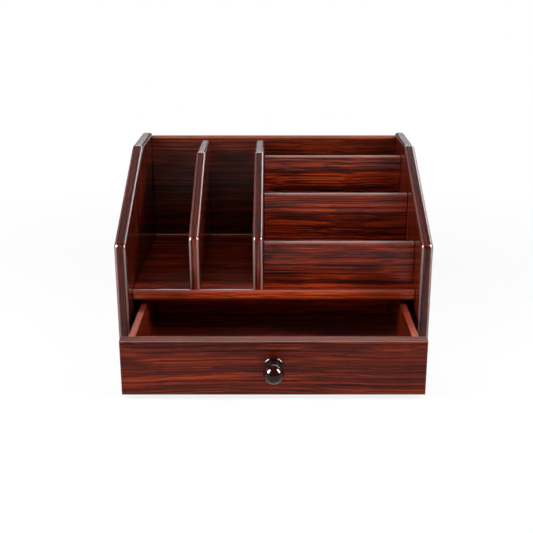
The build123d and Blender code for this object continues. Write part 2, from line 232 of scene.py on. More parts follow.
@dataclass(frozen=True)
class Rosewood:
    """Rosewood boards, sanded, stained and sprayed with lacquer.

    The eye sees long dark and red-orange streaks that sway as they run with the board, fine dark lines and
    pores between them, and over it a thin, slightly wavy gloss that is duller on the sanded top edges. Pairs
    of sizes are a length along the grain and a width across it. Streaks, fibres and pores are drawn coarser
    than real ones, so that they show. Lacquer's index is about 1.5; it is lowered to match the faint gloss.

    Attributes:
        name: The material's name.
        grain: The way the grain runs.
        stops: The figure's colours.
        edge_stops, front_stops: Its colours off the broad faces, and on edges that face the front.
        broad: The part of the normal that tells the broad faces.
        band_mm, streak_mm, fibre_mm, pore_mm: The sizes of the figure's bands, streaks, fibres and pores.
        vein_mm: How far apart the dark veins run.
        sway_mm, quiver_mm: The length of the figure's slow and quick waves, and how far they go.
        streak_share, fibre_share: How much streaks and fibres count beside the bands.
        noise_roughness: How much the finer layers of each noise count.
        contrast: Half the span that the colours cover; less is harsher.
        vein_width: The veins' width, in the noise's values.
        pore_level, pore_rise: Where the pores begin in the noise's values, and how far above they are full.
        vein_depth, pore_depth: How dark the veins and the pores are.
        top_shade_depth, under_depth, joint_shade_depth: The depth of painted shade on top edges, undersides
        and eased ends.
        highlight_tone: The tone of the painted highlight on rounded edges, if there is one.
        highlight_ways: The parts of the normal across a highlighted edge and along it.
        highlight_span: Where the painted highlight begins, is full, fades and ends, by the part across.
        highlight_fade_mm: The heights between which that tone grows from low to full.
        highlight_low, highlight_slope: Its share below them, and its share on sloped and top edges.
        accents_mm, accent_tone: The heights and half widths of single bright bands, and their tone.
        seam_mm: The height of a painted highlight line along a seam, if there is one.
        seam_half_mm: Where that line fades out and where it is full, from its middle.
        ripple_mm, ripple_height_mm: The size and the height of the lacquer's waves.
        roughness: The lacquer's roughness where the grain is close and where it is open.
        top_roughness, top_spread: Its roughness on the sanded top edges, and how far that drifts.
        ior: The lacquer's refractive index.
    """

    name: str
    grain: Grain = Grain.ALONG_X
    stops: Stops = (
        (0.0, "#180403"), (0.3, "#420e06"), (0.55, "#661a08"), (0.8, "#902b0d"), (1.0, "#b04016"),
    )
    edge_stops: Stops = ()
    front_stops: Stops = ()
    broad: str = "X"
    band_mm: tuple[float, float] = (420.0, 7.0)
    streak_mm: tuple[float, float] = (300.0, 1.5)
    fibre_mm: tuple[float, float] = (110.0, 0.75)
    vein_mm: tuple[float, float] = (240.0, 7.0)
    pore_mm: tuple[float, float] = (5.0, 0.55)
    sway_mm: tuple[float, float] = (110.0, 7.0)
    quiver_mm: tuple[float, float] = (34.0, 1.2)
    streak_share: float = 0.55
    fibre_share: float = 0.28
    noise_roughness: float = 0.6
    contrast: float = 0.13
    vein_width: float = 0.022
    vein_depth: float = 0.55
    pore_depth: float = 0.35
    pore_level: float = 0.6
    pore_rise: float = 0.08
    top_shade_depth: float = 0.6
    under_depth: float = 0.7
    joint_shade_depth: float = 0.0
    highlight_tone: str = ""
    highlight_ways: str = "XZ"
    highlight_span: tuple[float, float, float, float] = (0.1, 0.38, 0.62, 0.88)
    highlight_fade_mm: tuple[float, float] = (-2.0, -1.0)
    highlight_low: float = 0.55
    highlight_slope: float = 0.0
    accents_mm: tuple[tuple[float, float], ...] = ()
    accent_tone: str = "#8e2c14"
    seam_mm: float = 0.0
    seam_half_mm: tuple[float, float] = (0.7, 0.3)
    ripple_mm: float = 16.0
    ripple_height_mm: float = 0.05
    roughness: tuple[float, float] = (0.16, 0.26)
    top_roughness: float = 0.42
    top_spread: float = 0.08
    ior: float = 1.28

    def stretched(self, tree: Tree, place: Any, size_mm: tuple[float, float], detail: float) -> Any:
        """Add noise that is stretched along the grain.

        Args:
            tree: The material's tree.
            place: The socket with the place in the board, grain along X.
            size_mm: The noise's length along the grain and its width across it.
            detail: How many finer layers the noise has.

        Returns:
            The socket with the noise's value, from 0 to 1.
        """
        length, across = (1 / (size * MM) for size in size_mm)
        drawn = add(tree, "ShaderNodeVectorMath", (place, (length, across, across)), operation="MULTIPLY")
        inputs = {"Vector": drawn, "Scale": 1.0, "Detail": detail, "Roughness": self.noise_roughness}
        return add(tree, "ShaderNodeTexNoise", inputs)

    def swayed(self, tree: Tree, place: Any, size_mm: tuple[float, float]) -> Any:
        """Shift places from side to side as they run with the grain.

        Args:
            tree: The material's tree.
            place: The socket with the place in the board, grain along X.
            size_mm: The length of a sway and how far it goes.

        Returns:
            The socket with the shifted place.
        """
        slow, reach = 1 / (size_mm[0] * MM), size_mm[1] * MM
        spread = add(tree, "ShaderNodeVectorMath", (place, (slow,) * 3), operation="MULTIPLY")
        drift = add(tree, "ShaderNodeTexNoise", {"Vector": spread, "Scale": 1.0, "Detail": 1.0}, out="Color")
        centred = add(tree, "ShaderNodeVectorMath", (drift, (MIDDLE,) * 3), operation="SUBTRACT")
        shift = add(tree, "ShaderNodeVectorMath", (centred, (0.0, reach, reach)), operation="MULTIPLY")
        return add(tree, "ShaderNodeVectorMath", (place, shift), operation="ADD")

    def surface(self, tree: Tree) -> Surface:
        """Find what the finish needs to know of each point.

        Args:
            tree: The material's tree.

        Returns:
            The point.
        """
        source = add(tree, "ShaderNodeTexCoord").node.outputs
        facing = add(tree, "ShaderNodeSeparateXYZ", (source["Normal"],)).node.outputs
        parts = add(tree, "ShaderNodeSeparateXYZ", (source["Object"],)).node.outputs
        place = add(tree, "ShaderNodeMapping", {"Vector": source["Object"], "Rotation": self.grain.value})
        if self.grain is Grain.ALONG_Z:
            # On top and sloped edges the figure runs from front to back, whatever the height
            lipping = add(tree, "ShaderNodeCombineXYZ", (parts["Y"], parts["X"]))
            upward = add(tree, "ShaderNodeMapRange", (facing["Z"], *Facing.UP.value))
            place = add(tree, "ShaderNodeMix", {0: upward, 4: place, 5: lipping}, out=1, data_type="VECTOR")
        path = self.swayed(tree, self.swayed(tree, place, self.sway_mm), self.quiver_mm)
        fibres = self.stretched(tree, path, self.fibre_mm, detail=2.0)
        return Surface(tree, facing, parts["Z"], place, path, fibres)

    def figure(self, at: Surface) -> Any:
        """Mix bands, streaks and fibres.

        Args:
            at: The point on the board.

        Returns:
            The socket with the figure's value, from 0 to 1.
        """
        bands = self.stretched(at.tree, at.path, self.band_mm, detail=2.0)
        streaks = self.stretched(at.tree, at.path, self.streak_mm, detail=3.0)
        wide = add(at.tree, "ShaderNodeMix", {0: self.streak_share, 2: bands, 3: streaks})
        whole = add(at.tree, "ShaderNodeMix", {0: self.fibre_share, 2: wide, 3: at.fibres})
        return add(at.tree, "ShaderNodeMapRange", (whole, MIDDLE - self.contrast, MIDDLE + self.contrast))

    def stain_and_painted_shade(self, at: Surface) -> Any:
        """Find how dark the veins and the pores are, and the painted shade on the top edges, undersides and
        joints.

        Args:
            at: The point on the board.

        Returns:
            The socket with the share of dark stain and painted shade.
        """
        tree = at.tree
        # A vein is a thin line where slow noise crosses its middle
        off = apart(tree, self.stretched(tree, at.path, self.vein_mm, detail=2.0), MIDDLE)
        specks = self.stretched(tree, at.path, self.pore_mm, detail=1.0)
        shades = (
            (off, 0.0, self.vein_width, self.vein_depth, 0.0),
            (specks, self.pore_level, self.pore_level + self.pore_rise, 0.0, self.pore_depth),
            # Painted shade: the sanded top edges and the undersides are darkened
            (at.facing["Z"], *Facing.TOP.value, 0.0, self.top_shade_depth),
            (at.facing["Z"], *Facing.UNDER.value, 0.0, self.under_depth),
            # Painted shade: an eased end goes dark where it meets the next board
            (apart(tree, at.facing["X"]), *Facing.JOINT.value, 0.0, self.joint_shade_depth),
        )
        dark = 0.0
        for shade in shades:
            share = add(tree, "ShaderNodeMapRange", shade)
            dark = add(tree, "ShaderNodeMath", (dark, share), operation="MAXIMUM")
        return dark

    def painted_highlight(self, at: Surface) -> Any:
        """Find how strong the painted highlight on the rounded edges is.

        Args:
            at: The point on the board.

        Returns:
            The socket with the share of the painted highlight.
        """
        tree = at.tree
        across, along = (at.facing[way] for way in self.highlight_ways)
        # An upper edge gets the painted highlight and a lower one doesn't, but left and right edges are alike
        turned = across if self.highlight_ways[0] == "Z" else apart(tree, across)
        first, full, fading, last = self.highlight_span
        low, high = self.highlight_fade_mm
        spans = (
            (turned, first, full),
            (turned, fading, last, 1.0, 0.0),
            (apart(tree, along), *Facing.SLOPED.value, 1.0, self.highlight_slope),
            (at.height, low * MM, high * MM, self.highlight_low, 1.0),
        )
        pale = 1.0
        for limits in spans:
            share = add(tree, "ShaderNodeMapRange", limits)
            pale = add(tree, "ShaderNodeMath", (pale, share), operation="MULTIPLY")
        return pale

    def colour(self, at: Surface) -> Any:
        """Colour the figure by how each surface faces, then lay single tones over it, painted shade and
        highlights too.

        Args:
            at: The point on the board.

        Returns:
            The socket with the colour.
        """
        tree = at.tree
        figure = self.figure(at)
        wood = add(tree, "ShaderNodeValToRGB", (figure,), stops=self.stops)
        if self.edge_stops:
            broad = add(tree, "ShaderNodeMapRange", (apart(tree, at.facing[self.broad]), *Facing.BROAD.value))
            edge = add(tree, "ShaderNodeValToRGB", (figure,), stops=self.edge_stops)
            wood = add(tree, "ShaderNodeMix", {0: broad, 6: edge, 7: wood}, **COLOURS)
        if self.front_stops:
            ahead = add(tree, "ShaderNodeMapRange", (at.facing["Y"], *Facing.AHEAD.value))
            front = add(tree, "ShaderNodeValToRGB", (figure,), stops=self.front_stops)
            wood = add(tree, "ShaderNodeMix", {0: ahead, 6: wood, 7: front}, **COLOURS)
        layers = []
        # Single bright bands at set heights, broken up by the figure
        level = add(tree, "ShaderNodeSeparateXYZ", (at.path,), out="Z")
        for middle_mm, half_mm in self.accents_mm:
            band = add(tree, "ShaderNodeMapRange", (apart(tree, level, middle_mm * MM), half_mm * MM, 0.0))
            broken = add(tree, "ShaderNodeMath", (band, figure), operation="MULTIPLY")
            layers.append((broken, self.accent_tone))
        layers.append((self.stain_and_painted_shade(at), STAIN_AND_SHADE))
        if self.seam_mm:
            # Painted highlight: a thin light line along a joint
            off = apart(tree, at.height, self.seam_mm * MM)
            line = add(tree, "ShaderNodeMapRange", (off, *(half * MM for half in self.seam_half_mm)))
            ahead = add(tree, "ShaderNodeMapRange", (at.facing["Y"], *Facing.SEAM.value))
            near = add(tree, "ShaderNodeMath", (ahead, line), operation="MULTIPLY")
            layers.append((near, SEAM_HIGHLIGHT))
        # Painted highlight: the rounded edges are drawn pale
        if self.highlight_tone:
            layers.append((self.painted_highlight(at), self.highlight_tone))
        for share, tone in layers:
            wood = add(tree, "ShaderNodeMix", {0: share, 6: wood, 7: linear(tone)}, **COLOURS)
        return wood

    def gloss(self, at: Surface) -> Any:
        """Find the lacquer's roughness: duller over the open grain, and dull on the sanded top edges.

        Args:
            at: The point on the board.

        Returns:
            The socket with the roughness.
        """
        close, loose = self.roughness
        dull, bright = self.top_roughness + self.top_spread, self.top_roughness - self.top_spread
        smooth = add(at.tree, "ShaderNodeMapRange", (at.fibres, *USUAL, loose, close))
        sanded = add(at.tree, "ShaderNodeMapRange", (at.fibres, *USUAL, dull, bright))
        top = add(at.tree, "ShaderNodeMapRange", (at.facing["Z"], *Facing.SANDED.value))
        return add(at.tree, "ShaderNodeMix", {0: top, 2: smooth, 3: sanded})

    def material(self) -> bpy.types.Material:
        """Build the finish.

        Returns:
            The material.
        """
        material, tree = new_tree(self.name)
        at = self.surface(tree)
        scales = (1 / (self.ripple_mm * MM),) * 3
        wave = add(tree, "ShaderNodeVectorMath", (at.place, scales), operation="MULTIPLY")
        ripple = add(tree, "ShaderNodeTexNoise", {"Vector": wave, "Scale": 1.0, "Detail": 1.0})
        waves = {"Strength": 1.0, "Distance": self.ripple_height_mm * MM, "Height": ripple}
        inputs = {
            "Base Color": self.colour(at),
            "Roughness": self.gloss(at),
            "Normal": add(tree, "ShaderNodeBump", waves),
            "IOR": self.ior,
        }
        add(tree, "ShaderNodeOutputMaterial", (add(tree, "ShaderNodeBsdfPrincipled", inputs),))
        return material


@dataclass(frozen=True)
class PlainFinish:
    """A turned or plated piece: a tone that drifts a little over it, and a gloss that drifts along.

    Attributes:
        name: The material's name.
        dark: The darker tone.
        light: The lighter tone.
        speck_mm: The size of the drift.
        roughness: The roughness of the dark and of the light tone.
        ior: The refractive index.
        metallic: 1 for bare or plated metal.
        dent_mm: The height of the surface's unevenness.
        detail: How many finer layers the drift has.
    """

    name: str
    dark: str
    light: str
    speck_mm: float
    roughness: tuple[float, float]
    ior: float = 1.5
    metallic: float = 0.0
    dent_mm: float = 0.01
    detail: float = 4.0

    def material(self) -> bpy.types.Material:
        """Build the finish.

        Returns:
            The material.
        """
        material, tree = new_tree(self.name)
        place = add(tree, "ShaderNodeTexCoord", out="Object")
        drift = {"Vector": place, "Scale": 1 / (self.speck_mm * MM), "Detail": self.detail}
        noise = add(tree, "ShaderNodeTexNoise", drift)
        dents = {"Strength": 1.0, "Distance": self.dent_mm * MM, "Height": noise}
        stops = tuple(zip(USUAL, (self.dark, self.light)))
        inputs = {
            "Base Color": add(tree, "ShaderNodeValToRGB", (noise,), stops=stops),
            "Roughness": add(tree, "ShaderNodeMapRange", (noise, *USUAL, *self.roughness)),
            "Normal": add(tree, "ShaderNodeBump", dents),
            "Metallic": self.metallic,
            "IOR": self.ior,
        }
        add(tree, "ShaderNodeOutputMaterial", (add(tree, "ShaderNodeBsdfPrincipled", inputs),))
        return material


@dataclass
class Boards:
    """A group of boards that keep the frame's shape and get one finish.

    Attributes:
        finish: Their finish.
        nodes: The frame's nodes.
    """

    finish: Rosewood
    nodes: tuple[str, ...]

    def dress(self) -> None:
        """Give each board the finish."""
        material = self.finish.material()
        for name in self.nodes:
            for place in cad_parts[name].material_slots:
                place.material = material
            log.info("%s: %s", name, material.name)


@dataclass
class Spot:
    """Where a fastener sits in the frame.

    Attributes:
        place: The middle of its outer end.
        facing: The way that end faces.
        length: The fastener's length.
    """

    place: Vector
    facing: Vector
    length: float


def islands(node: str) -> list[list[Vector]]:
    """Split a node's mesh into its separate bodies.

    Args:
        node: The frame's node.

    Returns:
        The corner points of each body, in an order that is the same each run.
    """
    mesh = bmesh.new()
    mesh.from_mesh(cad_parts[node].data)
    bmesh.ops.remove_doubles(mesh, verts=mesh.verts, dist=FRAME_MERGE_MM * MM)
    left = set(mesh.verts)
    groups = []
    while left:
        found = [left.pop()]
        for vertex in found:
            near = {edge.other_vert(vertex) for edge in vertex.link_edges} & left
            left -= near
            found.extend(near)
        groups.append([vertex.co.copy() for vertex in found])
    mesh.free()
    middles = [sum(points, Vector()) / len(points) for points in groups]
    places = [[round(part, ORDER_DIGITS) for part in middle] for middle in middles]
    return [groups[number] for number in sorted(range(len(groups)), key=lambda number: places[number])]


def spots(node: str) -> list[Spot]:
    """Find where a node's dowels or screws sit, along their longest sides, with a screw's head outward.

    Args:
        node: The frame's node.

    Returns:
        A spot for each dowel or screw.
    """
    found = []
    for points in islands(node):
        low, high = (Vector(map(limit, *points)) for limit in (min, max))
        size, middle = high - low, (high + low) / 2
        way = max(range(3), key=lambda number: size[number])
        widths = {}
        for sign, end in ((1.0, high[way]), (-1.0, low[way])):
            ring = [point - middle for point in points if abs(point[way] - end) < END_SHARE * size[way]]
            widths[sign] = max(math.hypot(point[way - 1], point[way - 2]) for point in ring)
        facing = Vector((0.0, 0.0, 0.0))
        facing[way] = 1.0 if widths[1.0] >= widths[-1.0] - HEAD_MM * MM else -1.0
        found.append(Spot(middle + facing * size[way] / 2, facing, size[way]))
    return found


def close_mesh(mesh: bpy.types.Mesh) -> None:
    """Merge a mesh's doubled corners and turn its faces outward.

    Args:
        mesh: The mesh.
    """
    work = bmesh.new()
    work.from_mesh(mesh)
    bmesh.ops.remove_doubles(work, verts=work.verts, dist=PIECE_MERGE_MM * MM)
    bmesh.ops.recalc_face_normals(work, faces=work.faces)
    work.to_mesh(mesh)
    work.free()


@dataclass(frozen=True)
class Fastener:
    """A fastener that is made once by a node tree and set at each of its spots.

    Attributes:
        sides: The number of sides of its round parts.
    """

    sides: int = 24

    def sizes(self) -> dict[str, float]:
        """Name the tree's sizes, in metres."""
        names = [part.name for part in fields(self) if part.name.endswith("_mm")]
        return {name.removesuffix("_mm"): getattr(self, name) * MM for name in names}

    def body(self, tree: Tree, size: dict[str, Any]) -> Any:
        """Build one fastener, its outer end at the origin and facing +Z, and return the mesh's socket."""
        raise NotImplementedError

    def turned(self, tree: Tree, rings: list[tuple[Any, Any]], section: Any) -> Any:
        """Set a section along the axis, with its own size at each ring.

        Args:
            tree: The tree that gets the nodes.
            rings: The depth below the outer end and the scale of the section, as values or sockets.
            section: The socket with the section's curve.

        Returns:
            The socket with the closed mesh.
        """
        line = add(tree, "GeometryNodeCurvePrimitiveLine")
        points = add(tree, "GeometryNodeResampleCurve", {"Curve": line, "Count": len(rings)}, mode="COUNT")
        index = add(tree, "GeometryNodeInputIndex")
        picks = []
        for column in zip(*rings):
            node = add(tree, "GeometryNodeIndexSwitch", data_type="FLOAT").node
            # The node starts with two items
            for _ in column[2:]:
                node.index_switch_items.new()
            feed(tree, node, dict(enumerate((index, *column))))
            picks.append(node.outputs[0])
        depth, scale = picks
        place = add(tree, "ShaderNodeVectorMath", {0: DOWN, "Scale": depth}, operation="SCALE")
        moved = add(tree, "GeometryNodeSetPosition", {"Geometry": points, "Position": place})
        inputs = {"Curve": moved, "Profile Curve": section, "Scale": scale, "Fill Caps": True}
        return add(tree, "GeometryNodeCurveToMesh", inputs)

    def tree(self, name: str) -> tuple[Tree, dict[str, str]]:
        """Build the node tree that sets the fastener at points, each turned by its "facing".

        Args:
            name: The tree's name.

        Returns:
            The tree and the identifiers of its inputs, by name.
        """
        tree = bpy.data.node_groups.new(name, "GeometryNodeTree")
        tree.is_modifier = True
        kinds = {"Geometry": "NodeSocketGeometry"}
        kinds |= {size: "NodeSocketFloat" for size in (*self.sizes(), "length")}
        kinds |= {"Material": "NodeSocketMaterial"}
        names = {
            size: tree.interface.new_socket(name=size, in_out="INPUT", socket_type=kind).identifier
            for size, kind in kinds.items()
        }
        tree.interface.new_socket(name="Geometry", in_out="OUTPUT", socket_type="NodeSocketGeometry")
        given = add(tree, "NodeGroupInput").node.outputs
        one = self.body(tree, {size: given[size] for size in names})
        facing = add(tree, "GeometryNodeInputNamedAttribute", {"Name": "facing"}, data_type="FLOAT_VECTOR")
        turn = add(tree, "FunctionNodeAlignRotationToVector", {"Vector": facing}, axis="Z")
        inputs = {"Points": given["Geometry"], "Instance": one, "Rotation": turn}
        real = add(tree, "GeometryNodeRealizeInstances", (add(tree, "GeometryNodeInstanceOnPoints", inputs),))
        inputs = {"Geometry": real, "Material": given["Material"]}
        add(tree, "NodeGroupOutput", (add(tree, "GeometryNodeSetMaterial", inputs),))
        return tree, names

    def build(self, name: str, node: str, body: str, slot: str, material: bpy.types.Material) -> None:
        """Make the fasteners that stand for a node.

        Args:
            name: The new piece's name.
            node: The frame's node.
            body: The body that they ride on.
            slot: The record's material slot; not used.
            material: Their finish.
        """
        places = spots(node)
        mesh = bpy.data.meshes.new(f"{name}_points")
        mesh.from_pydata([spot.place for spot in places], [], [])
        facing = mesh.attributes.new("facing", "FLOAT_VECTOR", "POINT")
        for number, spot in enumerate(places):
            facing.data[number].vector = spot.facing
        holder = placed(f"{name}_points", mesh)
        tree, names = self.tree(name)
        modifier = holder.modifiers.new("copies", "NODES")
        modifier.node_group = tree
        for size, value in (self.sizes() | {"length": places[0].length, "Material": material}).items():
            modifier[names[size]] = value
        made = bpy.data.meshes.new_from_object(holder.evaluated_get(bpy.context.evaluated_depsgraph_get()))
        holder.modifiers.remove(modifier)
        bpy.data.objects.remove(holder)
        close_mesh(made)
        piece = placed(name, made)
        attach(piece, body)
        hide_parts(node)
        log.info("%s: %d pieces, %d faces", name, len(places), len(made.polygons))


@dataclass(frozen=True)
class Dowel(Fastener):
    """A fluted dowel: glue grooves along it and a chamfer at both ends.

    Attributes:
        sides: The number of grooves.
        width_mm: Its diameter.
        chamfer_mm: The chamfer's width.
        groove_mm: The grooves' depth.
    """

    sides: int = 18
    width_mm: float = 6.0
    chamfer_mm: float = 0.6
    groove_mm: float = 0.18

    def body(self, tree: Tree, size: dict[str, Any]) -> Any:
        """Build one dowel.

        Args:
            tree: The tree that gets the nodes.
            size: The sockets with the sizes, by name.

        Returns:
            The socket with the mesh.
        """
        radius = add(tree, "ShaderNodeMath", (size["width"], 0.5), operation="MULTIPLY")
        inner = add(tree, "ShaderNodeMath", (radius, size["groove"]), operation="SUBTRACT")
        inputs = {"Points": self.sides, "Inner Radius": inner, "Outer Radius": radius, "Twist": 0.0}
        section = add(tree, "GeometryNodeCurveStar", inputs)
        eased = add(tree, "ShaderNodeMath", (size["chamfer"], radius), operation="DIVIDE")
        small = add(tree, "ShaderNodeMath", (1.0, eased), operation="SUBTRACT")
        deep = add(tree, "ShaderNodeMath", (size["length"], size["chamfer"]), operation="SUBTRACT")
        rings = [(0.0, small), (size["chamfer"], 1.0), (deep, 1.0), (size["length"], small)]
        return self.turned(tree, rings, section)


@dataclass(frozen=True)
class Screw(Fastener):
    """A screw with a cross recess in its head and a thread along its shank.

    Attributes:
        crown_mm, head_mm: The widths of the head's flat top and of the head.
        shoulder_mm, rim_mm, seat_mm: The depths where the head is at its widest, begins to narrow and ends.
        dome_share: Where the head's round lies between crown and shoulder, in depth and in width.
        shank_mm: The shank's diameter over its thread.
        point_mm, tip_mm: The length of the point, and the width of its end.
        pitch_mm, thread_mm: The thread's pitch and height.
        thread_share: The part of the shank that is threaded.
        thread_steps, thread_sides: The number of points in one turn of the thread, and of its ridge's sides.
        recess_mm, recess_depth_mm: The cross recess's span and depth.
        recess_rise: How tall the cutter is beside that depth, to reach past the crown.
        recess_taper: The span at the bottom as a share of the span at the top.
        blade_share: The width of the recess's arms as a share of the span.
    """

    crown_mm: float = 4.9
    head_mm: float = 5.0
    shoulder_mm: float = 0.05
    dome_share: tuple[float, float] = (0.3, 0.6)
    rim_mm: float = 0.1
    seat_mm: float = 1.1
    shank_mm: float = 3.0
    point_mm: float = 3.0
    tip_mm: float = 0.1
    pitch_mm: float = 1.3
    thread_mm: float = 0.35
    thread_share: float = 0.7
    thread_steps: int = 16
    thread_sides: int = 4
    recess_mm: float = 2.9
    recess_depth_mm: float = 1.1
    recess_rise: float = 1.2
    recess_taper: float = 0.35
    blade_share: float = 0.24

    def body(self, tree: Tree, size: dict[str, Any]) -> Any:
        """Build one screw.

        Args:
            tree: The tree that gets the nodes.
            size: The sockets with the sizes, by name.

        Returns:
            The socket with the mesh.
        """
        half = {
            name: add(tree, "ShaderNodeMath", (size[name], 0.5), operation="MULTIPLY")
            for name in ("crown", "head", "shank", "tip")
        }
        core = add(tree, "ShaderNodeMath", (half["shank"], size["thread"]), operation="SUBTRACT")
        neck = add(tree, "ShaderNodeMath", (size["length"], size["point"]), operation="SUBTRACT")
        deep, wide = self.dome_share
        dome_depth = add(tree, "ShaderNodeMath", (size["shoulder"], deep), operation="MULTIPLY")
        dome_width = add(tree, "ShaderNodeMix", {0: wide, 2: half["crown"], 3: half["head"]})
        rings = [
            (0.0, half["crown"]), (dome_depth, dome_width), (size["shoulder"], half["head"]),
            (size["rim"], half["head"]), (size["seat"], core), (neck, core), (size["length"], half["tip"]),
        ]
        circle = add(tree, "GeometryNodeCurvePrimitiveCircle", {"Resolution": self.sides, "Radius": 1.0})
        blades = [self.blade(tree, size, turn) for turn in (0.0, math.pi / 2)]
        inputs = {"Mesh 1": self.turned(tree, rings, circle), "Mesh 2": blades}
        cut = add(tree, "GeometryNodeMeshBoolean", inputs, operation="DIFFERENCE", solver="EXACT")
        return add(tree, "GeometryNodeJoinGeometry", ([cut, self.thread(tree, size, core, neck)],))

    def blade(self, tree: Tree, size: dict[str, Any], turn: float) -> Any:
        """Build one arm of the cross recess, narrowing downward.

        Args:
            tree: The tree that gets the nodes.
            size: The sockets with the sizes, by name.
            turn: The arm's angle.

        Returns:
            The socket with the mesh.
        """
        # A square's corners lie farther out than its sides
        wide = add(tree, "ShaderNodeMath", (size["recess"], math.sqrt(0.5)), operation="MULTIPLY")
        narrow = add(tree, "ShaderNodeMath", (wide, self.recess_taper), operation="MULTIPLY")
        tall = add(tree, "ShaderNodeMath", (size["recess_depth"], self.recess_rise), operation="MULTIPLY")
        inputs = {"Vertices": 4, "Radius Top": wide, "Radius Bottom": narrow, "Depth": tall}
        square = add(tree, "GeometryNodeMeshCone", inputs)
        turned = add(tree, "GeometryNodeTransform", {"Geometry": square, "Rotation": (0.0, 0.0, math.pi / 4)})
        down = add(tree, "ShaderNodeVectorMath", {0: DOWN, "Scale": size["recess_depth"]}, operation="SCALE")
        inputs = {
            "Geometry": turned, "Translation": down, "Rotation": (0.0, 0.0, turn),
            "Scale": (1.0, self.blade_share, 1.0),
        }
        return add(tree, "GeometryNodeTransform", inputs)

    def thread(self, tree: Tree, size: dict[str, Any], core: Any, neck: Any) -> Any:
        """Wind the thread round the shank.

        Args:
            tree: The tree that gets the nodes.
            size: The sockets with the sizes, by name.
            core: The socket with the shank's radius under the thread.
            neck: The socket with the depth where the point begins.

        Returns:
            The socket with the mesh.
        """
        straight = add(tree, "ShaderNodeMath", (neck, size["seat"]), operation="SUBTRACT")
        wound = add(tree, "ShaderNodeMath", (straight, self.thread_share), operation="MULTIPLY")
        turns = add(tree, "ShaderNodeMath", (wound, size["pitch"]), operation="DIVIDE")
        inputs = {
            "Resolution": self.thread_steps, "Rotations": turns, "Start Radius": core, "End Radius": core,
            "Height": wound,
        }
        helix = add(tree, "GeometryNodeCurveSpiral", inputs)
        inputs = {"Resolution": self.thread_sides, "Radius": size["thread"]}
        ridge = add(tree, "GeometryNodeCurvePrimitiveCircle", inputs)
        inputs = {"Curve": helix, "Profile Curve": ridge, "Fill Caps": True}
        wire = add(tree, "GeometryNodeCurveToMesh", inputs)
        down = add(tree, "ShaderNodeVectorMath", {0: DOWN, "Scale": neck}, operation="SCALE")
        return add(tree, "GeometryNodeTransform", {"Geometry": wire, "Translation": down})


@dataclass
class Knob:
    """The turned knob: a flange with a round rim, a cove, a bead and a ball.

    Attributes:
        flange_mm, flange_thick_mm: The flange's diameter and thickness.
        neck_mm, ball_mm: The diameters of the neck and the ball.
        cove_mm, bead_mm: The lengths of the cove and the bead.
        reach_mm: How far the ball's middle is from the drawer front.
        steps, sides: The number of steps along each round, and of sides round the knob.
    """

    flange_mm: float = 20.0
    flange_thick_mm: float = 3.4
    neck_mm: float = 11.0
    cove_mm: float = 1.2
    bead_mm: float = 2.6
    ball_mm: float = 19.4
    reach_mm: float = 16.0
    steps: int = 20
    sides: int = 96

    def arc(
        self, middle: tuple[float, float], radius: float, start: float, end: float,
    ) -> list[tuple[float, float]]:
        """Find points along an arc of the outline.

        Args:
            middle: The arc's middle, as radius and reach.
            radius: The arc's radius.
            start: The angle of its first point, in degrees from straight outward towards the tip.
            end: The angle of its last point.

        Returns:
            The points, as radius and reach.
        """
        angles = [math.radians(start + (end - start) * step / self.steps) for step in range(self.steps + 1)]
        return [(middle[0] + radius * math.cos(a), middle[1] + radius * math.sin(a)) for a in angles]

    def outline(self) -> list[tuple[float, float]]:
        """Find the knob's outline from the drawer front to the tip.

        Returns:
            The points, as radius and reach in millimetres.
        """
        rim, bead = self.flange_thick_mm / 2, self.bead_mm / 2
        flange, neck, ball = self.flange_mm / 2 - rim, self.neck_mm / 2, self.ball_mm / 2
        bead_middle = self.flange_thick_mm + self.cove_mm + bead
        ball_start = -math.degrees(math.acos(neck / ball))
        # The cove is a hollow round between the flange's face and the neck
        face, depth = self.flange_thick_mm, self.cove_mm
        turns = [math.pi / 2 * step / self.steps for step in range(self.steps + 1)]
        cove = [(neck + (flange - neck) * (1 - math.sin(a)), face + depth * (1 - math.cos(a))) for a in turns]
        return [
            (0.0, 0.0),
            *self.arc((flange, rim), rim, -90.0, 90.0),
            *cove[1:],
            *self.arc((neck, bead_middle), bead, -90.0, 90.0)[1:],
            *self.arc((0.0, self.reach_mm), ball, ball_start, 90.0),
        ]

    def build(self, material: bpy.types.Material) -> None:
        """Turn the knob on its axis.

        Args:
            material: Its finish.
        """
        low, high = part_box("knob")
        seat = Vector(((low.x + high.x) / 2, high.y, (low.z + high.z) / 2))
        work = bmesh.new()
        points = [work.verts.new((radius * MM, -reach * MM, 0.0)) for radius, reach in self.outline()]
        edges = [work.edges.new(pair) for pair in zip(points, points[1:])]
        bmesh.ops.spin(
            work, geom=points + edges, cent=(0, 0, 0), axis=(0, 1, 0), angle=math.tau, steps=self.sides,
            use_merge=True,
        )
        bmesh.ops.translate(work, verts=work.verts, vec=seat)
        mesh = bpy.data.meshes.new("turned_knob")
        work.to_mesh(mesh)
        work.free()
        close_mesh(mesh)
        mesh.polygons.foreach_set("use_smooth", [True] * len(mesh.polygons))
        mesh.materials.append(material)
        piece = placed("turned_knob", mesh)
        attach(piece, DRAWER)
        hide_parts("knob")
        log.info("turned_knob: %d faces", len(mesh.polygons))


